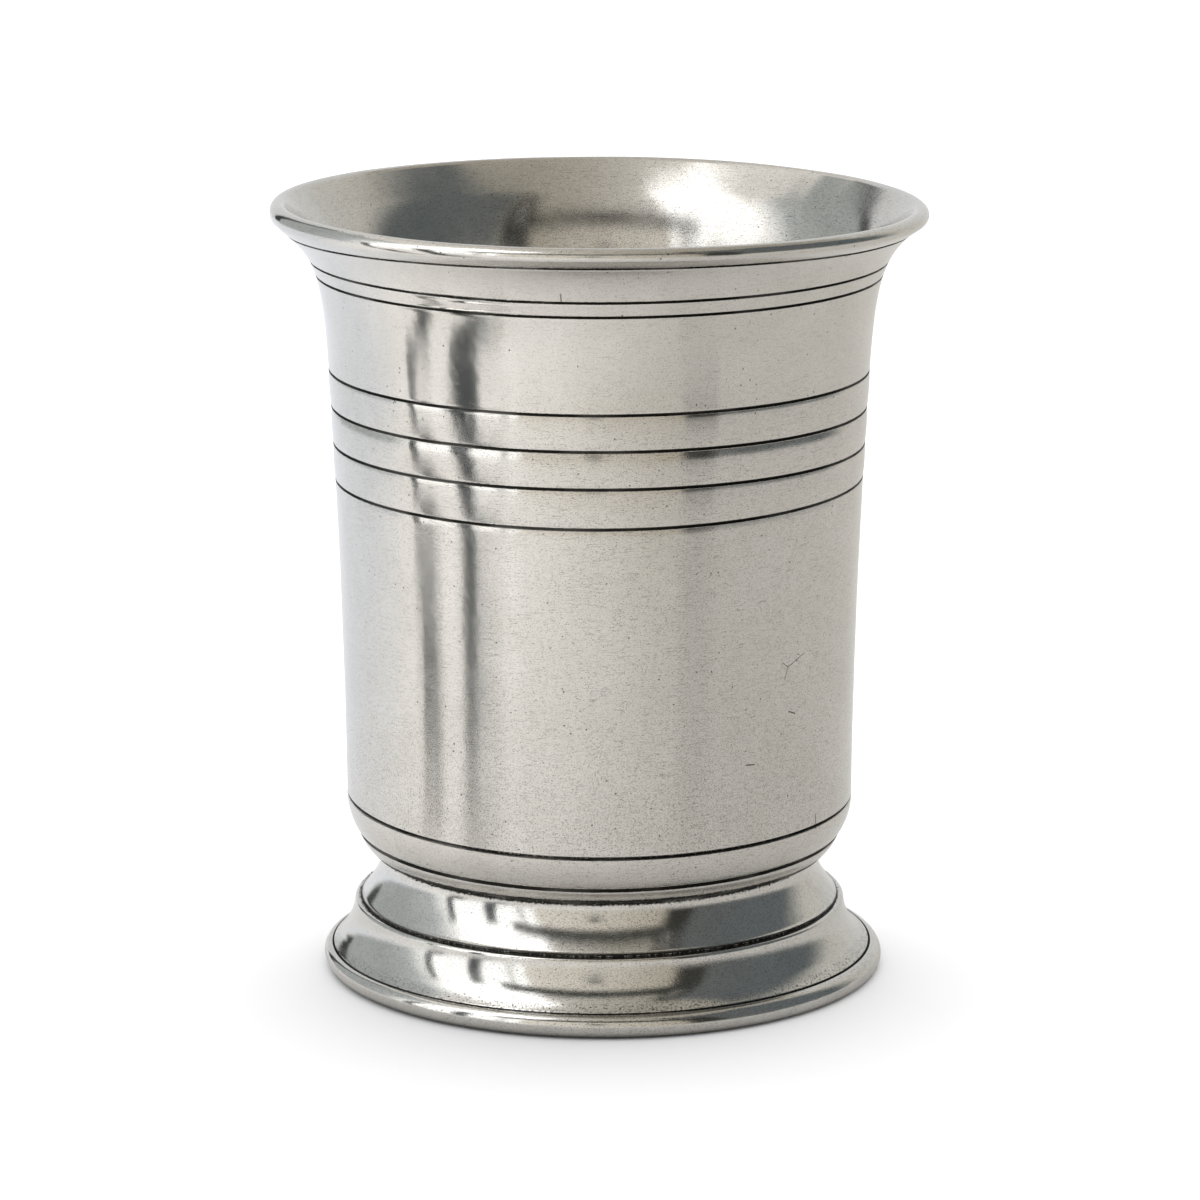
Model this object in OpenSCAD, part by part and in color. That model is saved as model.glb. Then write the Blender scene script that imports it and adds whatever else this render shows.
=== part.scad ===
// Footed pewter julep cup: a turned barrel with a bell mouth, on a bottom and a stepped hollow foot.
// Every piece is a turned ring or dish about Z. The origin is the centre of the foot on the table.

/* [Cup] */
// Height from the table to the top of the lip
cup_h = 110; // [90:1:140]
// Outer diameter of the lip
lip_d = 92; // [86:0.5:104]
// Outer diameter of the barrel at its lower seam
barrel_d = 72; // [66:0.5:76]
// How much the plain barrel widens in diameter from the lower seam to the lip line
barrel_spread = 6.2; // [2:0.2:8]
// Thickness of the cast walls
wall_t = 2; // [1.4:0.1:2.6]
// Thickness of the floor
floor_t = 2; // [1.2:0.1:3]

/* [Lip] */
// Diameter of the round bead along the lip
lip_bead_d = 2.6; // [1.8:0.1:3.4]
// Distance that the lip stands out past the line under it
lip_overhang = 2; // [1.2:0.1:3]
// Distance from the top of the lip down to the line under it
lip_line_drop = 3.5; // [2.8:0.1:5]

/* [Bowl bottom] */
// Height of the bottom piece, from the seam under it to the seam above it
bottom_h = 7.4; // [6.6:0.1:10]
// Distance that the rounded lower edge draws in
edge_draw = 1.55; // [1:0.05:2.4]
// Height of the small bead under the rounded edge
under_bead_h = 2.5; // [1.8:0.1:3]
// Distance that the small bead draws in towards the foot
under_bead_draw = 2; // [1:0.1:2.6]
// How far the small bead bulges
under_bead_bulge = 0.25; // [0.1:0.05:0.4]
// Radius of the inner corner between wall and floor
inner_corner_r = 5; // [3:0.5:8]

/* [Foot collar] */
// Height of the upper foot ring, from seam to seam
collar_h = 7.1; // [6:0.1:9]
// Distance that the collar's neck draws in behind the small bead of the bowl
neck_draw = 0.8; // [0.5:0.1:1.6]
// Distance from the seam under the bowl down to the neck
neck_drop = 2.3; // [1.5:0.1:2.8]
// Distance that the collar flares out from the neck to the step
collar_flare = 2.2; // [1.2:0.1:3]
// Distance that the collar's lower edge stands out past its cove
collar_edge = 0.3; // [0.1:0.05:0.5]

/* [Foot base] */
// Height of the lower foot ring
base_h = 10.1; // [8.5:0.1:12]
// Distance that the lower ring stands out past the collar
step_w = 0.85; // [0.5:0.05:1.5]
// Rounding of the edge under the step
step_round_r = 0.5; // [0.2:0.1:0.8]
// Distance that the foot flares out from the step to the bead at the table
foot_flare = 4.95; // [3.5:0.05:8]
// Diameter of the bead at the table
foot_bead_d = 3.2; // [2.6:0.1:4]
// Distance that the bead stands out past the line above it
foot_bead_overhang = 1.45; // [1.1:0.05:1.8]
// Width of the ring that stands on the table
rest_w = 1.8; // [1.2:0.1:2.4]
// Thickness of the ledge that the collar stands on
ledge_t = 1.8; // [1.2:0.1:2.4]

/* [Turned lines] */
// Width of each turned line
line_w = 0.36; // [0.2:0.02:0.6]
// Depth of each turned line
line_t = 0.26; // [0.1:0.02:0.4]
// Distance from the top of the lip to the upper line of the close pair
pair_drop = 8; // [6.5:0.1:12]
// Distance between the two lines of the close pair
pair_pitch = 2.2; // [1.2:0.1:4]
// Distance from the top of the lip to the highest band line
band_drop = 23.8; // [16:0.1:28]
// Distance between band lines
band_pitch = 5.2; // [2:0.1:7]
// Number of band lines
band_lines = 4; // [1:1:5]

/* [Solder] */
// Thickness of each solder seam
solder_t = 0.2; // [0.1:0.05:0.3]
// Distance that the solder stays behind the outer edge of a joint
solder_set_back = 0.2; // [0.1:0.05:0.4]

/* [Hidden] */
$fn = 96;
pewter = [0.75, 0.73, 0.69];
polished_pewter = [0.79, 0.78, 0.75];
solder_grey = [0.36, 0.36, 0.35];
quarter = 90;
half_turn = 180;
arc_steps = 20;
cove_steps = 28;

// Heights of the seams above the table
half_seam = solder_t / 2;
step_seam_h = base_h;
collar_seam_h = step_seam_h + collar_h;
barrel_seam_h = collar_seam_h + bottom_h;

// Place of a point on a circle, at an angle from straight outwards
function around(centre, r, angle) = [centre[0] + r * cos(angle), centre[1] + r * sin(angle)];
function arc(centre, r, from, to) =
    [for (i = [0:arc_steps]) around(centre, r, from + (to - from) * i / arc_steps)];

// Radius of the arc that starts upright and goes aside by a distance over a height
function arc_radius(aside, height) = (aside * aside + height * height) / (2 * aside);

// A turned line, cut square to a surface that leans outwards by an angle
module turned_line(r, h, lean) {
    rotate_extrude()
        translate([r, h])
            rotate(-lean)
                polygon([[-line_t, 0], [line_t, line_w], [line_t, -line_w]]);
}

// A thin flat ring of solder in a joint
module seam_ring(inner_r, outer_r, h) {
    color(solder_grey)
        rotate_extrude()
            translate([inner_r, h - half_seam])
                square([outer_r - inner_r, solder_t]);
}

// The barrel widens slowly with one power of the height, and its mouth opens with a much higher one
spread_power = 1.65;
flare_power = 18;
barrel_steps = 30;
lip_start_angle = -40;
barrel_r = barrel_d / 2;
lip_r = lip_d / 2;
lip_bead_r = lip_bead_d / 2;
spread_r = barrel_spread / 2;
flare_r = lip_r - lip_overhang - spread_r - barrel_r;
lip_line_h = cup_h - lip_line_drop;
barrel_run = lip_line_h - barrel_seam_h;
function barrel_out(t) = barrel_r + spread_r * pow(t, spread_power) + flare_r * pow(t, flare_power);
function barrel_slope(t) =
    (spread_power * spread_r * pow(t, spread_power - 1) + flare_power * flare_r * pow(t, flare_power - 1))
    / barrel_run;
function share_at(h) = (h - barrel_seam_h) / barrel_run;
function near_mouth(i) = sin(quarter * i / barrel_steps);
function outer_point(t) = [barrel_out(t), barrel_seam_h + barrel_run * t];
function inner_point(t) =
    let (m = barrel_slope(t), s = sqrt(1 + m * m))
    [barrel_out(t) - wall_t / s, barrel_seam_h + barrel_run * t + wall_t * m / s];

module barrel_line(drop) {
    h = cup_h - drop;
    t = share_at(h);
    turned_line(barrel_out(t), h, atan(barrel_slope(t)));
}

// Side wall with its bell mouth, lip bead, close pair of lines and band lines
module barrel() {
    low_z = barrel_seam_h + half_seam;
    lip_centre = [lip_r - lip_bead_r, cup_h - lip_bead_r];
    outside = [for (i = [1:barrel_steps]) outer_point(near_mouth(i))];
    inside = [for (i = [0:barrel_steps - 1]) inner_point(near_mouth(barrel_steps - i))];
    outline = concat(
        [[barrel_r - wall_t, low_z], [barrel_r - line_t, low_z], [barrel_r, low_z + line_w / 2]],
        outside,
        arc(lip_centre, lip_bead_r, lip_start_angle, half_turn),
        inside
    );
    color(pewter)
        difference() {
            rotate_extrude() polygon(outline);
            barrel_line(lip_line_drop);
            for (i = [0:1]) barrel_line(pair_drop + pair_pitch * i);
            for (i = [0:band_lines - 1]) barrel_line(band_drop + band_pitch * i);
        }
}

// Solder between the barrel and its bottom, flush inside and hidden behind the lowest turned line
module barrel_solder() {
    seam_ring(barrel_r - wall_t, barrel_r - line_t, barrel_seam_h);
}

// The rounded lower edge leaves the barrel upright, and the small bead goes on from its end
bottom_top_z = barrel_seam_h - half_seam;
bottom_low_z = collar_seam_h + half_seam;
floor_z = bottom_low_z + floor_t;
edge_run = bottom_h - under_bead_h;
edge_r = arc_radius(edge_draw, edge_run);
edge_angle = asin(edge_run / edge_r);
edge_low_r = barrel_r - edge_draw;
edge_low_z = barrel_seam_h - edge_run;
under_bead_low_r = edge_low_r - under_bead_draw;
function bead_point(s) = [
    edge_low_r - under_bead_draw * s + under_bead_bulge * sin(half_turn * s),
    edge_low_z - (edge_low_z - bottom_low_z) * s
];

// Floor, rounded lower edge and the small bead under it
module bowl_bottom() {
    edge_centre = [barrel_r - edge_r, barrel_seam_h];
    line_edge_z = bottom_top_z - line_w / 2;
    corner_r = min(inner_corner_r, bottom_top_z - floor_z);
    corner_centre = [barrel_r - wall_t - corner_r, floor_z + corner_r];
    edge_arc = arc(edge_centre, edge_r, -edge_angle, 0);
    edge = [for (p = edge_arc) if (p[1] > edge_low_z && p[1] < line_edge_z) p];
    outline = concat(
        [[0, floor_z], [0, bottom_low_z]],
        [for (i = [0:arc_steps]) bead_point(1 - i / arc_steps)],
        edge,
        [[barrel_r, line_edge_z], [barrel_r - line_t, bottom_top_z], [barrel_r - wall_t, bottom_top_z]],
        arc(corner_centre, corner_r, 0, -quarter)
    );
    color(pewter)
        difference() {
            rotate_extrude() polygon(outline);
            turned_line(edge_low_r, edge_low_z, edge_angle);
        }
}

// The collar's cove has its narrowest place, the neck, nearer the bowl than the step
neck_r = under_bead_low_r - neck_draw;
neck_z = collar_seam_h - neck_drop;
collar_top_z = collar_seam_h - half_seam;
collar_low_z = step_seam_h + half_seam;
collar_cove_r = arc_radius(collar_flare, neck_z - step_seam_h);
collar_centre_r = neck_r + collar_cove_r;
function collar_out(h) = collar_centre_r - sqrt(pow(collar_cove_r, 2) - pow(h - neck_z, 2));
function collar_in(h) = collar_centre_r - sqrt(pow(collar_cove_r + wall_t, 2) - pow(h - neck_z, 2));
collar_low_r = neck_r + collar_flare + collar_edge;
collar_inner_low_r = collar_in(collar_low_z);

// Upper foot ring
module foot_collar() {
    edge_z = collar_low_z + collar_edge;
    out_run = (collar_top_z - edge_z) / cove_steps;
    in_run = (collar_top_z - collar_low_z) / cove_steps;
    outside = [for (i = [0:cove_steps]) [collar_out(edge_z + out_run * i), edge_z + out_run * i]];
    inside = [for (i = [0:cove_steps]) [collar_in(collar_top_z - in_run * i), collar_top_z - in_run * i]];
    color(polished_pewter)
        rotate_extrude()
            polygon(concat([[collar_low_r, collar_low_z]], outside, inside));
}

// Solder between the bowl and the collar, behind the collar's upper edge
module collar_solder() {
    seam_ring(collar_in(collar_top_z), collar_out(collar_top_z) - solder_set_back, collar_seam_h);
}

// The lower cove starts upright under the step and runs out to the line above the bead
base_top_r = collar_low_r + step_w;
foot_r = base_top_r + foot_flare;
foot_bead_r = foot_bead_d / 2;
foot_line_r = foot_r - foot_bead_overhang;
foot_line_h = foot_bead_d;
base_top_z = step_seam_h - half_seam;
base_cove_r = arc_radius(foot_line_r - base_top_r, step_seam_h - foot_line_h);
base_centre_r = base_top_r + base_cove_r;
foot_line_lean = -asin((step_seam_h - foot_line_h) / base_cove_r);
foot_bead_start_angle = 70;
function base_out(h) = base_centre_r - sqrt(pow(base_cove_r, 2) - pow(h - step_seam_h, 2));
function base_in(h) = base_centre_r - sqrt(pow(base_cove_r + wall_t, 2) - pow(h - step_seam_h, 2));

// Lower foot ring: the ledge under the collar, the rounded step, the cove, a turned line and the bead
module foot_base() {
    cove_top_z = base_top_z - step_round_r;
    ledge_z = base_top_z - ledge_t;
    round_centre = [base_out(cove_top_z) - step_round_r, cove_top_z];
    bead_centre = [foot_r - foot_bead_r, foot_bead_r];
    rest_inner_r = bead_centre[0] - rest_w;
    in_run = (ledge_z - foot_bead_r) / cove_steps;
    out_run = (cove_top_z - foot_line_h) / cove_steps;
    inside = [for (i = [0:cove_steps])
        let (h = foot_bead_r + in_run * i)
        [min(base_in(h), rest_inner_r), h]];
    outside = [for (i = [1:cove_steps]) [base_out(cove_top_z - out_run * i), cove_top_z - out_run * i]];
    outline = concat(
        [[rest_inner_r, 0]],
        inside,
        [[collar_inner_low_r, ledge_z], [collar_inner_low_r, base_top_z]],
        arc(round_centre, step_round_r, quarter, 0),
        outside,
        arc(bead_centre, foot_bead_r, foot_bead_start_angle, -quarter)
    );
    color(polished_pewter)
        difference() {
            rotate_extrude() polygon(outline);
            turned_line(foot_line_r, foot_line_h, foot_line_lean);
        }
}

// Solder between the two foot rings
module step_solder() {
    seam_ring(collar_inner_low_r, collar_low_r - solder_set_back, step_seam_h);
}

barrel();
bowl_bottom();
barrel_solder();
foot_collar();
collar_solder();
foot_base();
step_solder();
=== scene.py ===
# A footed pewter julep cup on a pale table, in the soft light of a small studio.
# Places are in metres and outlines in millimetres, from the middle of the foot on the table, +Z up.
import math

import bmesh
import bpy
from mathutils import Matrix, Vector


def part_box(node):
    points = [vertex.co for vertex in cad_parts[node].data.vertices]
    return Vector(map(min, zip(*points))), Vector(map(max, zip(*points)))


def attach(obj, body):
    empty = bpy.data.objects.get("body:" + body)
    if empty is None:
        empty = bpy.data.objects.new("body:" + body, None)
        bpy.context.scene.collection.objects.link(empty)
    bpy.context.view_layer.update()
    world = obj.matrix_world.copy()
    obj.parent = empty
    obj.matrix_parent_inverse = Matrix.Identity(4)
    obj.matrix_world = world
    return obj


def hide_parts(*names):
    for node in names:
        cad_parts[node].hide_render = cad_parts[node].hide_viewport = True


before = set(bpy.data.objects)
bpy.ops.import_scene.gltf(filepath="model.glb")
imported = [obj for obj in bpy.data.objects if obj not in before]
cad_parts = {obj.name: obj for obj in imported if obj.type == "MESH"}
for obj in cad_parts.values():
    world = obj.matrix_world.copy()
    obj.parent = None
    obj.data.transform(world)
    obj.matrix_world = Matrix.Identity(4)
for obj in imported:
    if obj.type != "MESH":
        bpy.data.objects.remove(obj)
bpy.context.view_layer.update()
MM = 0.001

# Camera.
# It stands at arm's length, a little above the rim, and looks down at the middle of the cup.
camera_distance = 0.720
camera_height = 0.2138
camera_aside = 0.1 * MM
camera_pitch = math.radians(12.606)
camera_data = bpy.data.cameras.new("camera")
camera_data.lens = 155.98
camera_data.sensor_width = 36
camera_data.clip_start = 0.01
camera_data.clip_end = 60
camera = bpy.data.objects.new("camera", camera_data)
camera.location = (camera_aside, -camera_distance, camera_height)
camera.rotation_euler = (math.pi / 2 - camera_pitch, 0, 0)
bpy.context.scene.collection.objects.link(camera)
bpy.context.scene.camera = camera
bpy.context.scene.view_settings.view_transform = "Standard"


# Table.
# One pale sheet of card, much larger than the view. It is white where the light is open and keeps
# the soft grey shadow at the foot. What the metal mirrors of it has painted shade: dimmer at the right,
# and dimmer and bluish at the back left.
def node(tree, kind, inputs=None, **settings):
    """Adds a node. Each input is a number or a colour, or the output that is linked to it."""
    made = tree.nodes.new(kind)
    for name, value in settings.items():
        setattr(made, name, value)
    for name, value in (inputs or {}).items():
        if isinstance(value, bpy.types.NodeSocket):
            tree.links.new(value, made.inputs[name])
        else:
            made.inputs[name].default_value = value
    return made


def calc(tree, operation, *values):
    """The output of one Math node."""
    made = node(tree, "ShaderNodeMath", dict(enumerate(values)), operation=operation)
    return made.outputs[0]


def times(tree, a, b):
    """The product of two values."""
    return calc(tree, "MULTIPLY", a, b)


def ramp_between(tree, value, start, end, low, high):
    """A smooth change from low to high while value goes from start to end."""
    made = node(tree, "ShaderNodeMapRange", {
        "Value": value, "From Min": start, "From Max": end, "To Min": low, "To Max": high,
    }, interpolation_type="SMOOTHSTEP")
    return made.outputs["Result"]


def mixed(tree, factor, a, b):
    """The output of one colour mix."""
    return node(tree, "ShaderNodeMix", {"Factor": factor, "A": a, "B": b}, data_type="RGBA").outputs["Result"]


def vector_math(tree, operation, a, b=(0, 0, 0), output=0):
    """One output of a Vector Math node: 0 is its vector and 1 its value."""
    return node(tree, "ShaderNodeVectorMath", {0: a, 1: b}, operation=operation).outputs[output]


def scaled(tree, vector, factor):
    """A vector times a value."""
    return node(tree, "ShaderNodeVectorMath", {0: vector, "Scale": factor}, operation="SCALE").outputs[0]


def parts_of(tree, vector):
    """The outputs X, Y and Z of a vector."""
    return node(tree, "ShaderNodeSeparateXYZ", {0: vector}).outputs


def object_place(tree):
    """Object coordinates of a shaded point."""
    return node(tree, "ShaderNodeTexCoord").outputs["Object"]


def empty_material(name):
    """A material with nothing in it but its output."""
    material = bpy.data.materials.new(name)
    material.use_nodes = True
    material.node_tree.nodes.clear()
    output = material.node_tree.nodes.new("ShaderNodeOutputMaterial")
    return material, material.node_tree, output


table_half = 6.0
table_drop = 0.02 * MM
table_white = 0.92
white = (1, 1, 1, 1)
mirrored_front_left = (0.88, 0.86, 0.845, 1)
mirrored_back_left = (0.69, 0.71, 0.75, 1)
mirrored_right = (0.53, 0.515, 0.49, 1)
side_reach = 0.16
back_start = -0.05
back_end = 0.14
foot_shadow_start = 0.052
foot_shadow_end = 0.085

table_mesh = bpy.data.meshes.new("table")
table_mesh.from_pydata(
    [(x * table_half, y * table_half, -table_drop) for x, y in ((-1, -1), (1, -1), (1, 1), (-1, 1))],
    [], [(0, 1, 2, 3)],
)
table = bpy.data.objects.new("table", table_mesh)
bpy.context.scene.collection.objects.link(table)
table_material, tree, output = empty_material("pale card")
rays = node(tree, "ShaderNodeLightPath").outputs
spot = object_place(tree)
parts = parts_of(tree, spot)
back_share = ramp_between(tree, parts["Y"], back_start, back_end, 0, 1)
side_share = ramp_between(tree, parts["X"], -side_reach, side_reach, 0, 1)
left_tone = mixed(tree, back_share, mirrored_front_left, mirrored_back_left)
mirrored = rays["Is Glossy Ray"]
tone = mixed(tree, mirrored, white, mixed(tree, side_share, left_tone, mirrored_right))
# Near the foot, light that goes from the table to the metal and back is left out, which keeps the
# contact shadow dark.
from_axis = vector_math(tree, "LENGTH", spot, output=1)
by_foot = ramp_between(tree, from_axis, foot_shadow_start, foot_shadow_end, 1, 0)
passed_on = times(tree, mirrored, calc(tree, "MINIMUM", rays["Diffuse Depth"], 1))
kept = calc(tree, "MULTIPLY_ADD", times(tree, by_foot, passed_on), -table_white, table_white)
lit = node(tree, "ShaderNodeBsdfDiffuse", {"Color": scaled(tree, tone, kept)})
tree.links.new(lit.outputs[0], output.inputs["Surface"])
table.data.materials.append(table_material)

# Room.
# White behind the cup, with more light from the back than from the front. What the metal mirrors
# of it is a warm ceiling, brighter over the window; this does not light the table.
front_light = (0.62, 0.62, 0.62, 1)
back_light = (2.28, 2.28, 2.28, 1)
ceiling_left = (1.0, 0.97, 0.93, 1)
ceiling_right = (0.47, 0.44, 0.38, 1)
ceiling_turn = (-0.6, 0.3)
world = bpy.data.worlds.new("room")
world.use_nodes = True
bpy.context.scene.world = world
tree = world.node_tree
tree.nodes.clear()
rays = node(tree, "ShaderNodeLightPath").outputs
parts = parts_of(tree, node(tree, "ShaderNodeTexCoord").outputs["Generated"])
ceiling = mixed(tree, ramp_between(tree, parts["X"], *ceiling_turn, 0, 1), ceiling_left, ceiling_right)
daylight = mixed(tree, ramp_between(tree, parts["Y"], -1, 1, 0, 1), front_light, back_light)
seen = calc(tree, "MAXIMUM", rays["Is Camera Ray"], rays["Is Transmission Ray"])
tone = mixed(tree, rays["Is Glossy Ray"], mixed(tree, seen, daylight, white), ceiling)
onto_table = times(tree, rays["Is Glossy Ray"], rays["Diffuse Depth"])
background = node(tree, "ShaderNodeBackground", {
    "Color": tone, "Strength": calc(tree, "LESS_THAN", onto_table, 0.5)})
node(tree, "ShaderNodeOutputWorld", {"Surface": background.outputs[0]})

# Window light.
# A soft lamp at the upper left, which pushes the shadow of the foot a little to the right.
lamp_place = Vector((-0.75, -0.25, 1.0))
lamp_side = 1.2
lamp_power = 0.8
lamp_data = bpy.data.lights.new("window_light", "AREA")
lamp_data.shape = "SQUARE"
lamp_data.size = lamp_side
lamp_data.energy = lamp_power
lamp = bpy.data.objects.new("window_light", lamp_data)
lamp.location = lamp_place
lamp.rotation_euler = (-lamp_place).to_track_quat("-Z", "Y").to_euler()
lamp.visible_glossy = False
bpy.context.scene.collection.objects.link(lamp)

# Cards round the table.
# Boards, a window, posts and a camera that stand about the cup, and painted shadows of the posts
# laid on the table. Each glows with a tone painted for the light on it. Only the metal sees them,
# mirrored.
# An angle is 0 towards the camera and positive to the right, as it is mirrored in the cup.
card_material, tree, output = empty_material("mirrored card")
colour = node(tree, "ShaderNodeAttribute", attribute_name="tone")
direct = calc(tree, "LESS_THAN", node(tree, "ShaderNodeLightPath").outputs["Diffuse Depth"], 0.5)
glow = node(tree, "ShaderNodeEmission", {"Color": colour.outputs["Color"], "Strength": direct})
tree.links.new(glow.outputs[0], output.inputs["Surface"])
card_step = 3


def card(name, angles, far, low, high, tones, far_high=None, flat=False, lean=0.0):
    """A card between two angles and two heights, curved round the cup or flat. It has one tone, or
    one for its start and end, or these for its lower and upper edge. Lean turns its upper edge."""
    far_high = far_high or far
    if len(tones) == 1:
        tones = tones * 2
    if len(tones) == 2:
        tones = tones * 2
    count = max(1, round(abs(angles[1] - angles[0]) / card_step))
    points, shades = [], []
    for i in range(count + 1):
        share = i / count
        turn = angles[0] + (angles[1] - angles[0]) * share
        for distance, height, shift, (start, end) in (
            (far, low, 0, tones[:2]), (far_high, high, lean, tones[2:]),
        ):
            angle = math.radians(turn + shift)
            if flat:
                distance /= math.cos(angle)
            points.append((math.sin(angle) * distance, -math.cos(angle) * distance, height))
            shades.append([a + (b - a) * share for a, b in zip(start, end)] + [1])
    faces = [(2 * i, 2 * i + 2, 2 * i + 3, 2 * i + 1) for i in range(count)]
    mesh = bpy.data.meshes.new(name)
    mesh.from_pydata(points, [], faces)
    painted = mesh.attributes.new("tone", "FLOAT_COLOR", "POINT")
    for i, value in enumerate(shades):
        painted.data[i].color = value
    made = bpy.data.objects.new(name, mesh)
    made.data.materials.append(card_material)
    made.visible_camera = False
    made.visible_diffuse = False
    made.visible_shadow = False
    made.visible_transmission = False
    bpy.context.scene.collection.objects.link(made)


window_white = (1.6, 1.6, 1.6)
window_grey = (0.6, 0.63, 0.64)
window_high = (2.8, 2.8, 2.8)
window_dim = (0.48, 0.51, 0.51)
back_white = (0.78, 0.79, 0.80)
post_black = (0.03, 0.035, 0.035)
post_face = (0.09, 0.1, 0.105)
post_shadow_dim = (0.12, 0.13, 0.13)
table_mirrored = (0.95, 0.93, 0.9)
shade_pale = (0.8, 0.8, 0.79)
shade_near = (0.32, 0.34, 0.35)
shade_far = (0.12, 0.13, 0.135)
wall_dark = (0.14, 0.158, 0.165)
wall_pale = (0.66, 0.64, 0.59)
wood_dark = (0.05, 0.05, 0.045)
# Tones of the posts' painted shadows on the table: dim nearer the cup and black far out, then a fade from the
# table's tone to the dim tone.
post_shadow_tones = [post_shadow_dim] * 2 + [post_black] * 2
post_shadow_fade_tones = [table_mirrored] * 2 + [post_shadow_dim] * 2
laid = 0.5 * MM
laid_under = 0.4 * MM
card("back_sheet", (-182, -150), 1.2, 0, 0.9, [back_white])
card("sheet_gap", (-151, -143), 1.1, 0.03, 0.95, [(0.05, 0.055, 0.055)])
card("window_far", (-143, -118), 1.0, 0, 1.1, [window_dim])
card("window_turn", (-118, -97), 1.0, 0, 1.2, [window_dim, window_grey])
card("window_edge", (-97, -82), 1.0, 0, 1.2, [window_grey, window_white])
card("window_near", (-82, -33), 0.6, 0, 1.6, [window_white] * 2 + [window_high] * 2)
card("near_post", (-57.5, -51), 0.25, 0, 0.165, [post_face], lean=-3.3)
# A painted shadow of the near post, laid on the table, and its fade towards the cup.
card("near_post_floor", (-56, -50.2), 0.185, laid, laid, post_shadow_tones, far_high=0.25, lean=-2.9)
card("near_post_fade", (-43.5, -37.5), 0.1, laid, laid, post_shadow_fade_tones, far_high=0.185, lean=-12.6)
card("near_post_shade", (-45.5, -34.5), 0.11, laid_under, laid_under,
     [shade_pale, table_mirrored, shade_near, table_mirrored], far_high=0.25, lean=-7)
card("far_post_foot", (-77.4, -68.6), 0.25, 0, 0.012, [post_black], lean=-4.1)
card("far_post", (-81, -77), 0.25, 0.012, 0.155, [post_face], lean=-1.6)
# A painted shadow of the far post, laid on the table, and its fade towards the cup.
card("far_post_floor", (-77.3, -71.1), 0.19, laid, laid, post_shadow_tones, far_high=0.25, lean=-2.1)
card("far_post_fade", (-75.5, -69.3), 0.125, laid, laid, post_shadow_fade_tones, far_high=0.19, lean=-1.8)
card("far_post_shade", (-68.6, -63.3), 0.13, laid_under, laid_under, [shade_far, table_mirrored],
     far_high=0.25, lean=-5.4)
card("window_bar", (-42, -38.5), 0.5, 0, 0.34, [(0.9, 0.9, 0.88)])
card("cream_board", (-33, 34), 0.378, 0, 0.326, [(1.0, 0.95, 0.87), (0.54, 0.5, 0.42)], flat=True)
card("camera_body", (-5, 1), 0.37, 0.045, 0.2, [(0.75, 0.72, 0.66)] * 2 + [(0.08, 0.09, 0.09)] * 2, flat=True)
card("camera_arm", (-48, 45), 0.378, 0.326, 0.41, [(0.05, 0.055, 0.05)], far_high=0.31, flat=True)
card("dark_post", (34, 48), 0.4, 0.05, 0.8, [wood_dark])
card("dark_post_foot", (34, 48), 0.4, 0, 0.05, [(0.5, 0.48, 0.45)] * 2 + [wood_dark] * 2)
card("dark_post_edge", (39.5, 41.5), 0.39, 0.35, 0.6, [(0.6, 0.58, 0.54)])
card("dark_post_floor", (29.5, 43.5), 0.12, laid, laid, [(0.68, 0.66, 0.63)], far_high=0.35, lean=4.3)
card("right_wall", (48, 85), 1.0, 0, 1.9, [(0.16, 0.168, 0.168), wall_dark])
card("right_wall_far", (85, 110), 1.0, 0, 1.9, [wall_dark])
card("right_wall_end", (110, 126), 1.0, 0, 1.5, [wall_dark, wall_pale])
card("right_sheet", (126, 178), 1.2, 0, 1.2, [wall_pale, back_white])

# Barrel.
# The cup's side wall, of pewter: cast, then turned on a lathe to a slow taper with a bell mouth, a
# round lip bead and cut lines. It stands on the bottom piece and is soldered to it from inside.
barrel_low, barrel_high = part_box("barrel")
lip_top = barrel_high.z / MM
lip_r = barrel_high.x / MM
seam_top = barrel_low.z / MM
wall = 2.0
line_half = 0.2
rim_line_half = 0.25
line_depth = 0.3
line_edge_loss = 0.42
smear = 0.6
smear_fall = 9
rounding_power = 1.6
barrel_foot_r = 36.0
barrel_spread = 3.1
barrel_flare = 4.9
spread_power, flare_power = 1.65, 18
flare_low, flare_closer = 96, 0.6
kept_polish, polish_heights = 0.5, (82, 90)
lost_polish, dull_heights = 1.3, (30, 52)
barrel_seam = seam_top - 0.1
rim_line = lip_top - 3.5
barrel_lines = {
    "rim": rim_line, "pair_upper": lip_top - 8, "pair_lower": lip_top - 10.2,
    "band_1": lip_top - 23.8, "band_2": lip_top - 29, "band_3": lip_top - 34.2, "band_4": lip_top - 39.4,
}
lip_bead_r = 1.3
lip_start = -40
lip_end = 138
band_crown = 0.1

# How far the turned lines run out of true, as a rise at the left, at the right and at the front.
runout = [
    (0, 0, 0, 0), (3.2, 0, 0.1, 0.1), (10.1, -0.1, 0, 0.08), (17.2, -0.1, -0.1, 0.1),
    (19.7, 0.6, 0.5, 0), (24.6, 0.9, 0.4, 0), (70.6, 0.4, 0.85, 0.1), (75.8, 0.4, 0.35, 0.42),
    (81, 0.5, 0.35, 0.4), (86.2, 0.4, 0.25, 0.2), (99.8, 0.3, 0.2, 0.15), (102, 0.2, 0.1, 0),
    (106.5, -0.3, -0.1, 0.65), (110, 0.2, -0.6, 0),
]
foot_aside = 0.75
foot_aside_end = 5


def share_between(value, low, high):
    """Where a value lies between two others, held to 0 and 1."""
    return min(1, max(0, (value - low) / (high - low)))


def rise_at(height):
    """The rise of the turning at a height: left, right, front."""
    for (low, *low_rise), (high, *high_rise) in zip(runout, runout[1:]):
        if height <= high:
            share = share_between(height, low, high)
            return [a + (b - a) * share for a, b in zip(low_rise, high_rise)]
    return list(runout[-1][1:])


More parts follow.
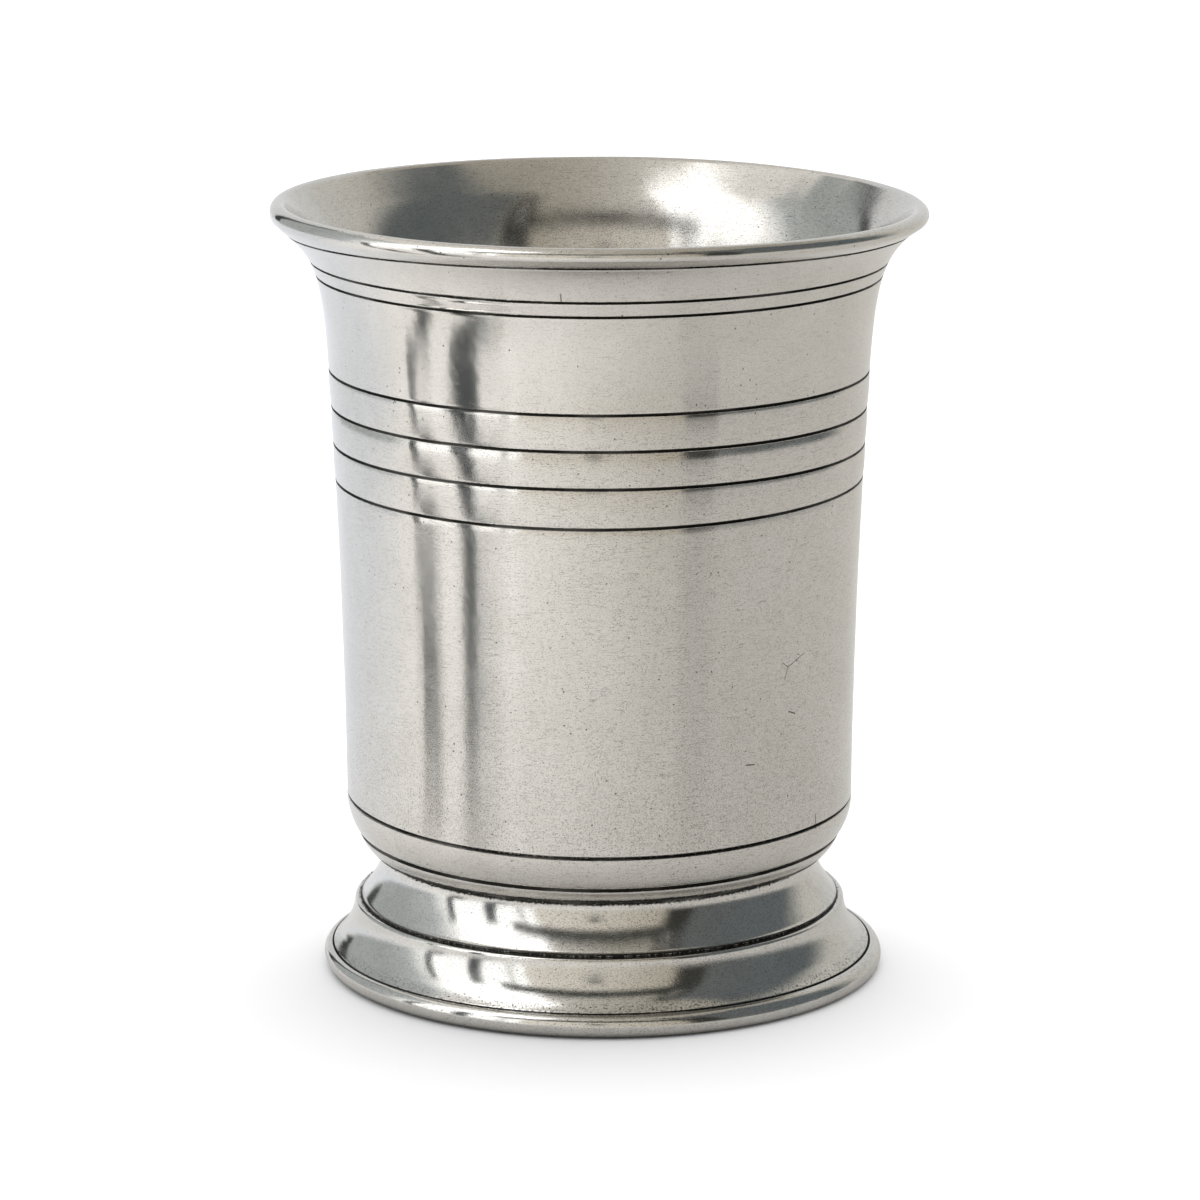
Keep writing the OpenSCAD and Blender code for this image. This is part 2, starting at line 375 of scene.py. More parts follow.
def arc(centre, radius, start, end, steps=12):
    """Points on a part of a circle, between two angles from straight outwards."""
    angles = [math.radians(start + (end - start) * i / steps) for i in range(steps + 1)]
    return [(centre[0] + radius * math.cos(a), centre[1] + radius * math.sin(a)) for a in angles]


def line_profile(away, half, upper, lower):
    """Depth of a turned line and its tarnish, at a distance from its middle, positive above it."""
    if abs(away) <= half:
        return line_depth * (1 - abs(away) / half), 1.0 - line_edge_loss * (away / half) ** 2
    reach, drop = upper if away > 0 else lower
    share = share_between(abs(away), half, half + reach)
    return drop * (1 - share) ** rounding_power, max(0.0, smear - (abs(away) - half) * smear_fall)


def cut_lines(path, lines):
    """Cuts turned lines into a path that goes up the outside. A line has its height, half its width,
    and the reach and drop of the rounding above it and below it."""
    lengths = [0.0]
    for a, b in zip(path, path[1:]):
        lengths.append(lengths[-1] + math.dist(a, b))

    def at(length):
        length = min(max(length, 0.0), lengths[-1])
        i = next(i for i in range(len(path) - 1) if length <= lengths[i + 1] + 1e-9)
        (r, z), (next_r, next_z) = path[i], path[i + 1]
        run = lengths[i + 1] - lengths[i]
        share = (length - lengths[i]) / run
        point = (r + (next_r - r) * share, z + (next_z - z) * share)
        return point, ((next_z - z) / run, (r - next_r) / run)

    kept = dict.fromkeys(lengths, (0.0, 0.0))
    for height, half, upper, lower in lines:
        i = next(i for i in range(len(path) - 1) if path[i + 1][1] >= height)
        share = (height - path[i][1]) / (path[i + 1][1] - path[i][1])
        middle = lengths[i] + share * (lengths[i + 1] - lengths[i])
        top, bottom = half + upper[0], half + lower[0]
        kept = {s: v for s, v in kept.items() if s < middle - bottom or s > middle + top}
        steps = [half * k for k in (-1, -0.5, 0, 0.5, 1)]
        steps += [half + upper[0] * k for k in (0.12, 0.3, 0.6, 1)]
        steps += [-half - lower[0] * k for k in (0.1, 0.22, 0.4, 0.6, 0.8, 1)]
        for away in steps:
            if 0 <= middle + away <= lengths[-1]:
                kept[middle + away] = line_profile(away, half, upper, lower)
    points = []
    for length in sorted(kept):
        (r, z), (out_r, out_z) = at(length)
        depth, tarnish = kept[length]
        points.append((r - out_r * depth, z - out_z * depth, tarnish, 0.0))
    return points


def plain(points, tarnish=0.0, polish=0.0):
    """Points without turned lines, all with the same tarnish and polish."""
    return [(r, z, tarnish, polish) for r, z in points]


def outline_object(name, outline):
    """A line of points in the plane of the axis. Each one carries its tarnish, polish and runout."""
    mesh = bpy.data.meshes.new(name + "_outline")
    edges = [(i, i + 1) for i in range(len(outline) - 1)]
    mesh.from_pydata([(point[0] * MM, 0, point[1] * MM) for point in outline], edges, [])
    polishes = mesh.attributes.new("polishes", "FLOAT_VECTOR", "POINT")
    marks = mesh.attributes.new("marks", "FLOAT_VECTOR", "POINT")
    rises = mesh.attributes.new("rises", "FLOAT_VECTOR", "POINT")
    along = 0.0
    for i, (r, z, tarnish, polish) in enumerate(outline):
        if i:
            along += math.dist(outline[i - 1][:2], (r, z)) * MM
        aside = foot_aside * (1 - share_between(z, 0, foot_aside_end))
        marks.data[i].vector = (tarnish, aside * MM, along)
        polishes.data[i].vector = (polish, 0, 0)
        rises.data[i].vector = [rise * MM for rise in rise_at(z)]
    made = bpy.data.objects.new(name, mesh)
    bpy.context.scene.collection.objects.link(made)
    return made


def geometry_tree(name, inputs):
    """A Geometry Nodes tree with a geometry, these inputs and a material."""
    tree = bpy.data.node_groups.new(name, "GeometryNodeTree")
    for socket, kind in [("Geometry", "Geometry"), *inputs, ("Material", "Material")]:
        tree.interface.new_socket(socket, in_out="INPUT", socket_type="NodeSocket" + kind)
    tree.interface.new_socket("Geometry", in_out="OUTPUT", socket_type="NodeSocketGeometry")
    return tree, node(tree, "NodeGroupInput").outputs


def end_tree(tree, shaped, material):
    """Ends a Geometry Nodes tree: makes its instances real and gives them their material."""
    shaped = node(tree, "GeometryNodeRealizeInstances", {"Geometry": shaped}).outputs[0]
    shaped = node(tree, "GeometryNodeSetMaterial", {"Geometry": shaped, "Material": material}).outputs[0]
    node(tree, "NodeGroupOutput", {"Geometry": shaped})


# The lathe: turns an outline about the axis, lets each turned line run a little out of true, and
# gives the surface the slow waves and fine ripples that hand finishing leaves.
lathe, group_in = geometry_tree("lathe", [
    ("Segments", "Int"), ("Wave Height", "Float"), ("Wave Length", "Float"),
    ("Ripple Height", "Float"), ("Ripple Length", "Float"), ("Seed", "Float"),
])
size = node(lathe, "GeometryNodeAttributeDomainSize", {"Geometry": group_in["Geometry"]})
columns = calc(lathe, "ADD", group_in["Segments"], 1)
grid = node(lathe, "GeometryNodeMeshGrid", {
    "Size X": 1, "Size Y": 1, "Vertices X": size.outputs["Point Count"], "Vertices Y": columns})
index = node(lathe, "GeometryNodeInputIndex").outputs[0]
row = calc(lathe, "FLOOR", calc(lathe, "DIVIDE", calc(lathe, "ADD", index, 0.5), columns))
column = calc(lathe, "SUBTRACT", index, times(lathe, row, columns))


def sampled(source):
    """The three parts of a vector of the outline, at the row of each grid point."""
    sample = node(lathe, "GeometryNodeSampleIndex", {
        "Geometry": group_in["Geometry"], "Value": source, "Index": row,
    }, data_type="FLOAT_VECTOR", domain="POINT")
    return parts_of(lathe, sample.outputs["Value"])


place = sampled(node(lathe, "GeometryNodeInputPosition").outputs[0])
marks, rises, polishes = (
    sampled(node(lathe, "GeometryNodeInputNamedAttribute", {"Name": name},
                 data_type="FLOAT_VECTOR").outputs["Attribute"])
    for name in ("marks", "rises", "polishes"))
turn = times(lathe, calc(lathe, "DIVIDE", column, group_in["Segments"]), math.tau)
to_left = calc(lathe, "SINE", turn)
to_back = calc(lathe, "COSINE", turn)
to_right = times(lathe, to_left, -1)
to_front = times(lathe, to_back, -1)
rise = 0
for part, towards in (("X", to_left), ("Y", to_right), ("Z", to_front)):
    share = calc(lathe, "POWER", calc(lathe, "MAXIMUM", towards, 0), 2)
    rise = calc(lathe, "MULTIPLY_ADD", rises[part], share, rise)
turned_place = node(lathe, "ShaderNodeCombineXYZ", {
    "X": calc(lathe, "SUBTRACT", marks["Y"], times(lathe, place["X"], to_left)),
    "Y": times(lathe, place["X"], to_back),
    "Z": calc(lathe, "ADD", place["Z"], rise),
})
shaped = node(lathe, "GeometryNodeSetPosition", {
    "Geometry": grid.outputs["Mesh"], "Position": turned_place.outputs[0]}).outputs[0]
for name, value, kind, domain in (
    ("tarnish", marks["X"], "FLOAT", "POINT"), ("along", marks["Z"], "FLOAT", "POINT"),
    ("polish", polishes["X"], "FLOAT", "POINT"), ("UVMap", grid.outputs["UV Map"], "FLOAT2", "CORNER"),
):
    shaped = node(lathe, "GeometryNodeStoreNamedAttribute", {
        "Geometry": shaped, "Name": name, "Value": value}, data_type=kind, domain=domain).outputs[0]
shaped = node(lathe, "GeometryNodeMergeByDistance", {"Geometry": shaped, "Distance": 1e-6}).outputs[0]
shaped = node(lathe, "GeometryNodeFlipFaces", {"Mesh": shaped}).outputs[0]
wobble = 0
for height, length in (("Wave Height", "Wave Length"), ("Ripple Height", "Ripple Length")):
    noise = node(lathe, "ShaderNodeTexNoise", {
        "W": group_in["Seed"], "Scale": calc(lathe, "DIVIDE", 1, group_in[length]), "Detail": 1,
    }, noise_dimensions="4D")
    offset = times(lathe, calc(lathe, "SUBTRACT", 0.5, noise.outputs[0]), group_in[height])
    wobble = calc(lathe, "ADD", wobble, offset)
pushed = scaled(lathe, node(lathe, "GeometryNodeInputNormal").outputs[0], wobble)
shaped = node(lathe, "GeometryNodeSetPosition", {"Geometry": shaped, "Offset": pushed}).outputs[0]
end_tree(lathe, shaped, group_in["Material"])


# Dents: one shallow hollow in the outer side of a wall, as a slip of the hand leaves. Its place is
# an angle from the front, positive to the right, and a height.
dent, group_in = geometry_tree("dent", [
    (name, "Float") for name in ("Angle", "Height", "Half Width", "Half Tall", "Depth")])
at_point = node(dent, "GeometryNodeInputPosition").outputs[0]
spot = parts_of(dent, at_point)
squares = calc(dent, "MULTIPLY_ADD", spot["X"], spot["X"], times(dent, spot["Y"], spot["Y"]))
radius = calc(dent, "SQRT", squares)
angle_at = calc(dent, "ARCTAN2", spot["X"], times(dent, spot["Y"], -1))
aside = times(dent, calc(dent, "SUBTRACT", angle_at, group_in["Angle"]), radius)
across = calc(dent, "POWER", calc(dent, "DIVIDE", aside, group_in["Half Width"]), 2)
above = calc(dent, "SUBTRACT", spot["Z"], group_in["Height"])
upward = calc(dent, "POWER", calc(dent, "DIVIDE", above, group_in["Half Tall"]), 2)
hollow = calc(dent, "EXPONENT", times(dent, calc(dent, "ADD", across, upward), -1))
facing = node(dent, "GeometryNodeInputNormal").outputs[0]
outward = vector_math(dent, "DOT_PRODUCT", facing, at_point, output=1)
hollow = times(dent, hollow, calc(dent, "GREATER_THAN", outward, 0))
inward = times(dent, times(dent, hollow, group_in["Depth"]), -1)
shaped = node(dent, "GeometryNodeSetPosition", {
    "Geometry": group_in["Geometry"], "Offset": scaled(dent, facing, inward)}).outputs[0]
end_tree(dent, shaped, group_in["Material"])


def add_tree(piece, tree, **values):
    """Puts a node tree on a piece and sets its named inputs."""
    modifier = piece.modifiers.new(tree.name, "NODES")
    modifier.node_group = tree
    for item in tree.interface.items_tree:
        name = item.name.lower().replace(" ", "_")
        if item.item_type == "SOCKET" and item.in_out == "INPUT" and name in values:
            modifier[item.identifier] = values[name]


def turned(name, outline, material, segments, wave, ripple, seed):
    """A piece turned from its outline. Wave and ripple each have a height and a length."""
    piece = outline_object(name, outline)
    add_tree(piece, lathe, segments=segments, wave_height=wave[0] * MM, wave_length=wave[1] * MM,
             ripple_height=ripple[0] * MM, ripple_length=ripple[1] * MM, seed=seed, material=material)
    return piece


sharp_angle = math.radians(40)


def settle(piece, cad_node):
    """Makes a piece's trees into a plain closed mesh, attaches it to the root and hides its CAD node."""
    graph = bpy.context.evaluated_depsgraph_get()
    source = piece.data
    mesh = bpy.data.meshes.new_from_object(piece.evaluated_get(graph))
    piece.modifiers.clear()
    piece.data = mesh
    bpy.data.meshes.remove(source)
    mesh.name = piece.name
    work = bmesh.new()
    work.from_mesh(mesh)
    bmesh.ops.recalc_face_normals(work, faces=work.faces)
    work.to_mesh(mesh)
    work.free()
    mesh.shade_smooth()
    mesh.set_sharp_from_angle(angle=sharp_angle)
    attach(piece, "root")
    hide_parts(cad_node)


def shader_group(name, inputs, outputs):
    """An empty shader node group with named inputs and outputs."""
    tree = bpy.data.node_groups.new(name, "ShaderNodeTree")
    for socket, kind, value in inputs:
        made = tree.interface.new_socket(socket, in_out="INPUT", socket_type="NodeSocket" + kind)
        made.default_value = value
    for socket, kind in outputs:
        tree.interface.new_socket(socket, in_out="OUTPUT", socket_type="NodeSocket" + kind)
    return tree, node(tree, "NodeGroupInput").outputs


seed_aside = 0.031


def shifted_place(tree, seed):
    """Object coordinates, moved by a seed so that each use has its own pattern."""
    shift = node(tree, "ShaderNodeCombineXYZ", {"X": times(tree, seed, seed_aside), "Y": seed})
    return vector_math(tree, "ADD", object_place(tree), shift.outputs[0])


def noise_of(tree, place, size, detail, **more):
    """A noise whose features have about this size, as a value about 0.5."""
    return node(tree, "ShaderNodeTexNoise", {
        "Vector": place, "Scale": calc(tree, "DIVIDE", 1, size), "Detail": detail, **more}).outputs[0]


# Turning marks: short thin streaks round the axis, as a value about 0.5.
turning, sockets = shader_group("turning_marks", [
    ("Mark Length", "Float", 1.5 * MM), ("Mark Width", "Float", 0.12 * MM), ("Seed", "Float", 0.0),
], [("Marks", "Float")])
xyz = parts_of(turning, object_place(turning))
along = node(turning, "ShaderNodeAttribute", attribute_name="along").outputs["Fac"]
stretched = node(turning, "ShaderNodeCombineXYZ", {
    "X": calc(turning, "DIVIDE", xyz["X"], sockets["Mark Length"]),
    "Y": calc(turning, "DIVIDE", xyz["Y"], sockets["Mark Length"]),
    "Z": calc(turning, "ADD", calc(turning, "DIVIDE", along, sockets["Mark Width"]), sockets["Seed"]),
})
noise = node(turning, "ShaderNodeTexNoise", {
    "Vector": stretched.outputs[0], "Scale": 1, "Detail": 1.5, "Roughness": 0.6})
node(turning, "NodeGroupOutput", {"Marks": noise.outputs[0]})

# Pits: small dark holes of the casting, more of them in some places than in others.
pits, sockets = shader_group("casting_pits", [
    ("Spacing", "Float", 0.7 * MM), ("Pit Size", "Float", 0.16), ("Share", "Float", 0.2),
    ("Patch Size", "Float", 14 * MM), ("Seed", "Float", 0.0),
], [("Pits", "Float")])
place = shifted_place(pits, sockets["Seed"])
cells = node(pits, "ShaderNodeTexVoronoi", {
    "Vector": place, "Scale": calc(pits, "DIVIDE", 1, sockets["Spacing"])})
patches = noise_of(pits, place, sockets["Patch Size"], 2)
chance = node(pits, "ShaderNodeSeparateColor", {0: cells.outputs["Color"]}).outputs[0]
fewest, most = 0.15, 2.0
crowded = ramp_between(pits, patches, 0.42, 0.66, fewest, most)
limit = times(pits, sockets["Share"], crowded)
chosen = calc(pits, "LESS_THAN", chance, limit)
hole = ramp_between(pits, cells.outputs["Distance"], times(pits, sockets["Pit Size"], 0.6),
                    sockets["Pit Size"], 1, 0)
node(pits, "NodeGroupOutput", {"Pits": times(pits, hole, chosen)})

# Tarnish: dark in the turned lines and joints, with an edge that is eaten a little unevenly.
stain, sockets = shader_group("tarnish_in_lines", [
    ("Grain", "Float", 0.3 * MM), ("Unevenness", "Float", 0.9), ("Patch Size", "Float", 12 * MM),
], [("Mask", "Float")])
held = node(stain, "ShaderNodeAttribute", attribute_name="tarnish").outputs["Fac"]
eaten = noise_of(stain, object_place(stain), sockets["Grain"], 2)
uneven = times(stain, calc(stain, "SUBTRACT", eaten, 0.5), sockets["Unevenness"])
mask = ramp_between(stain, calc(stain, "ADD", held, uneven), 0.32, 0.6, 0, 1)
patches = noise_of(stain, object_place(stain), sockets["Patch Size"], 2)
rubbed_least = 0.78
rubbed_off = ramp_between(stain, patches, 0.36, 0.54, rubbed_least, 1)
node(stain, "NodeGroupOutput", {"Mask": times(stain, mask, rubbed_off)})

# Cloud: how the tone of the metal shifts over some millimetres, as a value about 0.5.
cloud, sockets = shader_group("tone_clouds", [
    ("Cloud Size", "Float", 8 * MM), ("Fineness", "Float", 3.0), ("Seed", "Float", 0.0),
], [("Cloud", "Float")])
tones = noise_of(cloud, shifted_place(cloud, sockets["Seed"]), sockets["Cloud Size"], sockets["Fineness"],
                 Roughness=0.6)
node(cloud, "NodeGroupOutput", {"Cloud": tones})


# Nick: one short scratch between two points, as a mask. It shows on one side of a wall only.
nick_depth = 0.8 * MM
nick, sockets = shader_group("nick", [
    ("From", "Vector", (0, 0, 0)), ("To", "Vector", (0, 0, 1)), ("Width", "Float", 0.1 * MM),
], [("Mask", "Float")])
to_place = vector_math(nick, "SUBTRACT", object_place(nick), sockets["From"])
run = vector_math(nick, "SUBTRACT", sockets["To"], sockets["From"])
share = calc(nick, "DIVIDE", vector_math(nick, "DOT_PRODUCT", to_place, run, output=1),
             vector_math(nick, "DOT_PRODUCT", run, run, output=1))
share = node(nick, "ShaderNodeClamp", {"Value": share}).outputs[0]
away = vector_math(nick, "SUBTRACT", to_place, scaled(nick, run, share))
outward = vector_math(nick, "MULTIPLY", object_place(nick), (1, 1, 0))
inward = vector_math(nick, "PROJECT", away, outward)
apart_by = vector_math(nick, "DISTANCE", away, inward, output=1)
half_width = times(nick, sockets["Width"], 0.5)
mask = ramp_between(nick, apart_by, half_width, sockets["Width"], 1, 0)
near = calc(nick, "LESS_THAN", vector_math(nick, "LENGTH", inward, output=1), nick_depth)
node(nick, "NodeGroupOutput", {"Mask": times(nick, mask, near)})


def use_group(tree, group, **values):
    """A node that uses a group, with its named inputs set."""
    made = tree.nodes.new("ShaderNodeGroup")
    made.node_tree = group
    for name, value in values.items():
        made.inputs[name.replace("_", " ").title()].default_value = value
    return made.outputs[0]


worn_from = -25 * MM
worn_to = 15 * MM
least_worn = 0.85
polish_hides = 0.75
dash_marks = {"mark_length": 0.22 * MM, "mark_width": 0.06 * MM}
scratch_dark, dash_dark = 0.75, 1.35
speck_pits = {"spacing": 0.45 * MM, "pit_size": 0.17, "share": 0.12, "patch_size": 9 * MM}
pit_dark, pit_depth = 0.85, 1.5
peel_size = 1.3 * MM
satin_size = 0.22 * MM
satin_height, satin_dark = 0.8, 0.3
cloud_rough, polish_rough, tarnish_rough = 0.12, -0.05, 0.45
tarnish_colour = (0.035, 0.035, 0.031, 1)
pit_colour = (0.05, 0.048, 0.042, 1)


def pewter_material(
        name, light, dark, roughness, grain, brushed, marks, depth, peeled, pitting, seed, nicks=()):
    """Turned pewter. Light and dark are its two tones. Grain is the height of its fine marks, depth
    is how dark they are, and peeled is how far its surface swells between them."""
    material, tree, output = empty_material(name)
    clouds = use_group(tree, cloud, seed=seed)
    polish = node(tree, "ShaderNodeAttribute", attribute_name="polish").outputs["Fac"]
    across = parts_of(tree, object_place(tree))["X"]
    rubbed = ramp_between(tree, across, worn_from, worn_to, least_worn, 1)
    shine = calc(tree, "MAXIMUM", polish, 0)
    haze = calc(tree, "MAXIMUM", times(tree, polish, -1), 0)
    dulled = calc(tree, "SUBTRACT", 1, times(tree, shine, polish_hides))
    worn = times(tree, rubbed, dulled)
    scratches = use_group(tree, turning, seed=seed, **marks)
    dashes = use_group(tree, turning, seed=seed + 1, **dash_marks)
    peel = use_group(tree, cloud, seed=seed + 2, cloud_size=peel_size, fineness=0.0)
    holes = use_group(tree, pits, seed=seed, **pitting)
    specks = use_group(tree, pits, seed=seed + 5, **speck_pits)
    holes = calc(tree, "MAXIMUM", holes, times(tree, specks, worn))
    for start, end, width in nicks:
        ends = {"from": [v * MM for v in start], "to": [v * MM for v in end]}
        scratch = use_group(tree, nick, width=width * MM, **ends)
        holes = calc(tree, "MAXIMUM", holes, scratch)
    mask = use_group(tree, stain)
    tone = mixed(tree, ramp_between(tree, clouds, 0.3, 0.7, 0, 1), dark, light)
    long_marks = ramp_between(tree, scratches, 0.28, 0.42, depth * scratch_dark, 0)
    short_marks = ramp_between(tree, dashes, 0.3, 0.44, depth * dash_dark, 0)
    dark_marks = calc(tree, "MAXIMUM", long_marks, short_marks)
    tone = mixed(tree, times(tree, dark_marks, worn), tone, pit_colour)
    satin = use_group(tree, cloud, seed=seed + 3, cloud_size=satin_size, fineness=1.0)
    hazed = times(tree, haze, ramp_between(tree, satin, 0.3, 0.46, satin_dark, 0))
    tone = mixed(tree, hazed, tone, pit_colour)
    tone = mixed(tree, times(tree, holes, pit_dark), tone, pit_colour)
    tone = mixed(tree, mask, tone, tarnish_colour)
    uneven = calc(tree, "MULTIPLY_ADD", calc(tree, "SUBTRACT", clouds, 0.5), cloud_rough, roughness)
    uneven = calc(tree, "MULTIPLY_ADD", shine, polish_rough, uneven)
    rough = calc(tree, "MULTIPLY_ADD", mask, tarnish_rough, uneven)
    height = times(tree, calc(tree, "ADD", scratches, dashes), worn)
    height = calc(tree, "MULTIPLY_ADD", peel, peeled, height)
    height = calc(tree, "MULTIPLY_ADD", satin, times(tree, haze, satin_height), height)
    height = calc(tree, "SUBTRACT", height, times(tree, holes, pit_depth))
    bump = node(tree, "ShaderNodeBump", {"Strength": 1, "Distance": grain * MM, "Height": height})
    around = node(tree, "ShaderNodeTangent", direction_type="RADIAL", axis="Z")
    metal = node(tree, "ShaderNodeBsdfPrincipled", {
        "Base Color": tone, "Metallic": 1, "Roughness": rough, "Normal": bump.outputs[0],
        "Anisotropic": brushed, "Anisotropic Rotation": 0.25, "Tangent": around.outputs[0],
    })
    tree.links.new(metal.outputs[0], output.inputs["Surface"])
    return material


drum_light = (0.7, 0.682, 0.648, 1)
drum_dark = (0.65, 0.633, 0.595, 1)
drum_nicks = [
    ((28.2, -23.1, 50.5), (25.9, -25.6, 49.1), 0.07), ((25.1, -26.5, 49.9), (25.9, -25.6, 49.1), 0.06),
    ((25.9, -25.6, 49.1), (25.5, -26, 47.4), 0.07), ((20.2, -30.1, 36.3), (21.3, -29.3, 36.2), 0.12),
    ((26.1, -25.2, 42.7), (27, -24.3, 42.2), 0.12), ((30.1, -19.8, 26.6), (30.2, -19.6, 24.5), 0.13),
    ((-5, -40.1, 103.3), (-5, -40.1, 102.1), 0.1), ((-2.7, -37.6, 94), (-2.8, -37.6, 93.1), 0.07),
]
pewter = pewter_material(
    "pewter", drum_light, drum_dark, roughness=0.14, grain=0.004, brushed=1.0,
    marks={"mark_length": 1.8 * MM, "mark_width": 0.065 * MM}, depth=0.66, peeled=1.8,
    pitting={"spacing": 1.0 * MM, "pit_size": 0.15, "share": 0.17}, seed=3.0, nicks=drum_nicks,
)


def wall_r(height):
    """Outer radius of the barrel: a slow spread, and a much faster flare near the mouth."""
    share = share_between(height, barrel_seam, rim_line)
    crown = 0
    for upper, lower in (("band_1", "band_2"), ("band_2", "band_3"), ("band_3", "band_4")):
        place = share_between(height, barrel_lines[lower], barrel_lines[upper])
        crown += 4 * band_crown * place * (1 - place)
    return barrel_foot_r + barrel_spread * share ** spread_power + barrel_flare * share ** flare_power + crown


def wall_heights(low, high, step):
    """Even heights up the barrel, closer where the mouth flares."""
    heights, height = [], low
    while height < high - step / 2:
        heights.append(height)
        height += step * (1 - flare_closer * share_between(height, flare_low, high))
    return heights + [high]


def finish_at(height):
    """Polish of the outside: rubbed dull near the bottom, better kept over the bands."""
    kept = kept_polish * share_between(height, *polish_heights)
    return kept - lost_polish * (1 - share_between(height, *dull_heights))


upper_lip = (0.3, 0.03)
lower_lip = (0.5, 0.05)
broad_lip = (1.3, 0.2)
cuts = []
for name, height in sorted(barrel_lines.items(), key=lambda item: item[1]):
    if name == "rim":
        continue
    lower = {"band_2": broad_lip, "band_4": (0.9, 0.1)}.get(name, lower_lip)
    cuts.append((height, line_half, upper_lip, lower))
outside = [(wall_r(z), z) for z in wall_heights(seam_top + 0.2, rim_line, 1.0)]
lip_centre = (lip_r - lip_bead_r, lip_top - lip_bead_r)
outside += arc(lip_centre, lip_bead_r, lip_start, -10, 4)
lip_path = arc(lip_centre, lip_bead_r, 0, lip_end, 16)
inside = []
for z in reversed(wall_heights(seam_top, rim_line - 1, 1.6)):
    slope = (wall_r(z) - wall_r(z - 0.1)) / 0.1 if z > seam_top + 1 else 0
    stretch = math.hypot(1, slope)
    inside.append((wall_r(z) - wall / stretch, z + wall * slope / stretch))
barrel_outline = plain([(barrel_foot_r - wall, seam_top), (barrel_foot_r - line_depth, seam_top)], 1)
turned_side = cut_lines(outside, cuts + [(rim_line, rim_line_half, (0.25, 0.02), (0.35, 0.03))])
barrel_outline += [(r, z, tarnish, finish_at(z)) for r, z, tarnish, _ in turned_side]
barrel_outline += plain(lip_path, polish=0.3) + plain(inside, polish=-0.6)
barrel_outline.append(barrel_outline[0])

barrel = turned("barrel_turned", barrel_outline, pewter, 288, wave=(0.15, 18), ripple=(0.03, 4), seed=2.0)
dents = [(-29.4, 87.5, 4.4, 8, 0.18), (-26.8, 99, 4.8, 8, 0.13), (-40, 92.5, 1.7, 4.5, 0.045)]
for angle, height, half_width, half_tall, depth in dents:
    add_tree(barrel, dent, angle=math.radians(angle), height=height * MM, half_width=half_width * MM,
             half_tall=half_tall * MM, depth=depth * MM, material=pewter)
settle(barrel, "barrel")

# Bowl bottom.
# The floor of the cup with its rounded lower edge and the small bead under it, turned from one
# pewter casting. The barrel is soldered on top of it, and the lowest turned line hides that joint.
bottom_low, bottom_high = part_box("bowl_bottom")
bottom_top = bottom_high.z / MM
bottom_base = bottom_low.z / MM
floor_top = bottom_base + 2
edge_draw = 1.55
edge_run = 4.9
edge_round = (edge_draw ** 2 + edge_run ** 2) / (2 * edge_draw)
edge_line = barrel_seam - edge_run
edge_line_half = 0.36
edge_angle = -math.degrees(math.asin(edge_run / edge_round))
small_bead_top_r = barrel_foot_r - edge_draw
small_bead_draw = 2.0
small_bead_bulge = 0.3
corner_round = 5.0
under_path = []
for i in range(11):
    share = 1 - i / 10
    under_path.append((
        small_bead_top_r - small_bead_draw * share + small_bead_bulge * math.sin(math.pi * share),
        edge_line + (bottom_base - edge_line) * share,
    ))
edge_path = [p for p in arc((barrel_foot_r - edge_round, barrel_seam), edge_round, edge_angle, 0, 14)
             if edge_line + 0.1 < p[1] < bottom_top - 0.2]
edge_path.append((barrel_foot_r, bottom_top - 0.18))
floor_rings = [i * 1.45 for i in range(20)]
corner_centre = (barrel_foot_r - wall - corner_round, floor_top + corner_round)
joint_dark = 0.95


def joint_tarnish(points, height, reach=joint_dark):
    """Adds the tarnish that creeps out of a soldered joint at a height."""
    return [(r, z, max(tarnish, 1.1 - abs(z - height) / reach), polish) for r, z, tarnish, polish in points]


bottom_outline = plain([(r, bottom_base) for r in floor_rings])
bottom_outline += plain([under_path[0]], 1)
bottom_outline += joint_tarnish(
    cut_lines(under_path + edge_path, [(edge_line, edge_line_half, (0.3, 0.03), (0.3, 0.06))]), bottom_base)
bottom_outline += plain([(barrel_foot_r - line_depth, bottom_top), (barrel_foot_r - wall, bottom_top)], 1)
bottom_outline += plain(arc(corner_centre, corner_round, 0, -90, 12)[1:], polish=1)
bottom_outline += plain([(r, floor_top + 0.02 * math.cos(r * 2.2)) for r in reversed(floor_rings)], polish=1)

bowl_bottom = turned(
    "bottom_turned", bottom_outline, pewter, 288, wave=(0.06, 14), ripple=(0.016, 4), seed=6.0)
settle(bowl_bottom, "bowl_bottom")

# Barrel solder.
# The thin ring of solder in the joint of the barrel and its bottom, run in from inside the cup.
solder_low, solder_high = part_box("barrel_solder")


def solder_material(name, light, dark, grain_size):
    """Solder that has gone dull, light on its grains and nearly black between them."""
    material, tree, output = empty_material(name)
    noise = node(tree, "ShaderNodeTexNoise", {
        "Vector": object_place(tree), "Scale": 1 / grain_size, "Detail": 3,
    }).outputs[0]
    bump = node(tree, "ShaderNodeBump", {"Strength": 1, "Distance": 0.05 * MM, "Height": noise})
    metal = node(tree, "ShaderNodeBsdfPrincipled", {
        "Base Color": mixed(tree, ramp_between(tree, noise, 0.5, 0.68, 0, 1), dark, light),
        "Metallic": 1, "Roughness": ramp_between(tree, noise, 0.4, 0.65, 0.5, 0.3), "Normal": bump.outputs[0],
    })
    tree.links.new(metal.outputs[0], output.inputs["Surface"])
    return material


solder = solder_material("solder", (0.45, 0.44, 0.42, 1), (0.03, 0.03, 0.028, 1), 0.4 * MM)


def ring_section(inner, outer, low, high):
    """A closed section of a flat ring."""
    return plain([(inner, low), (outer, low), (outer, high), (inner, high), (inner, low)], 1)


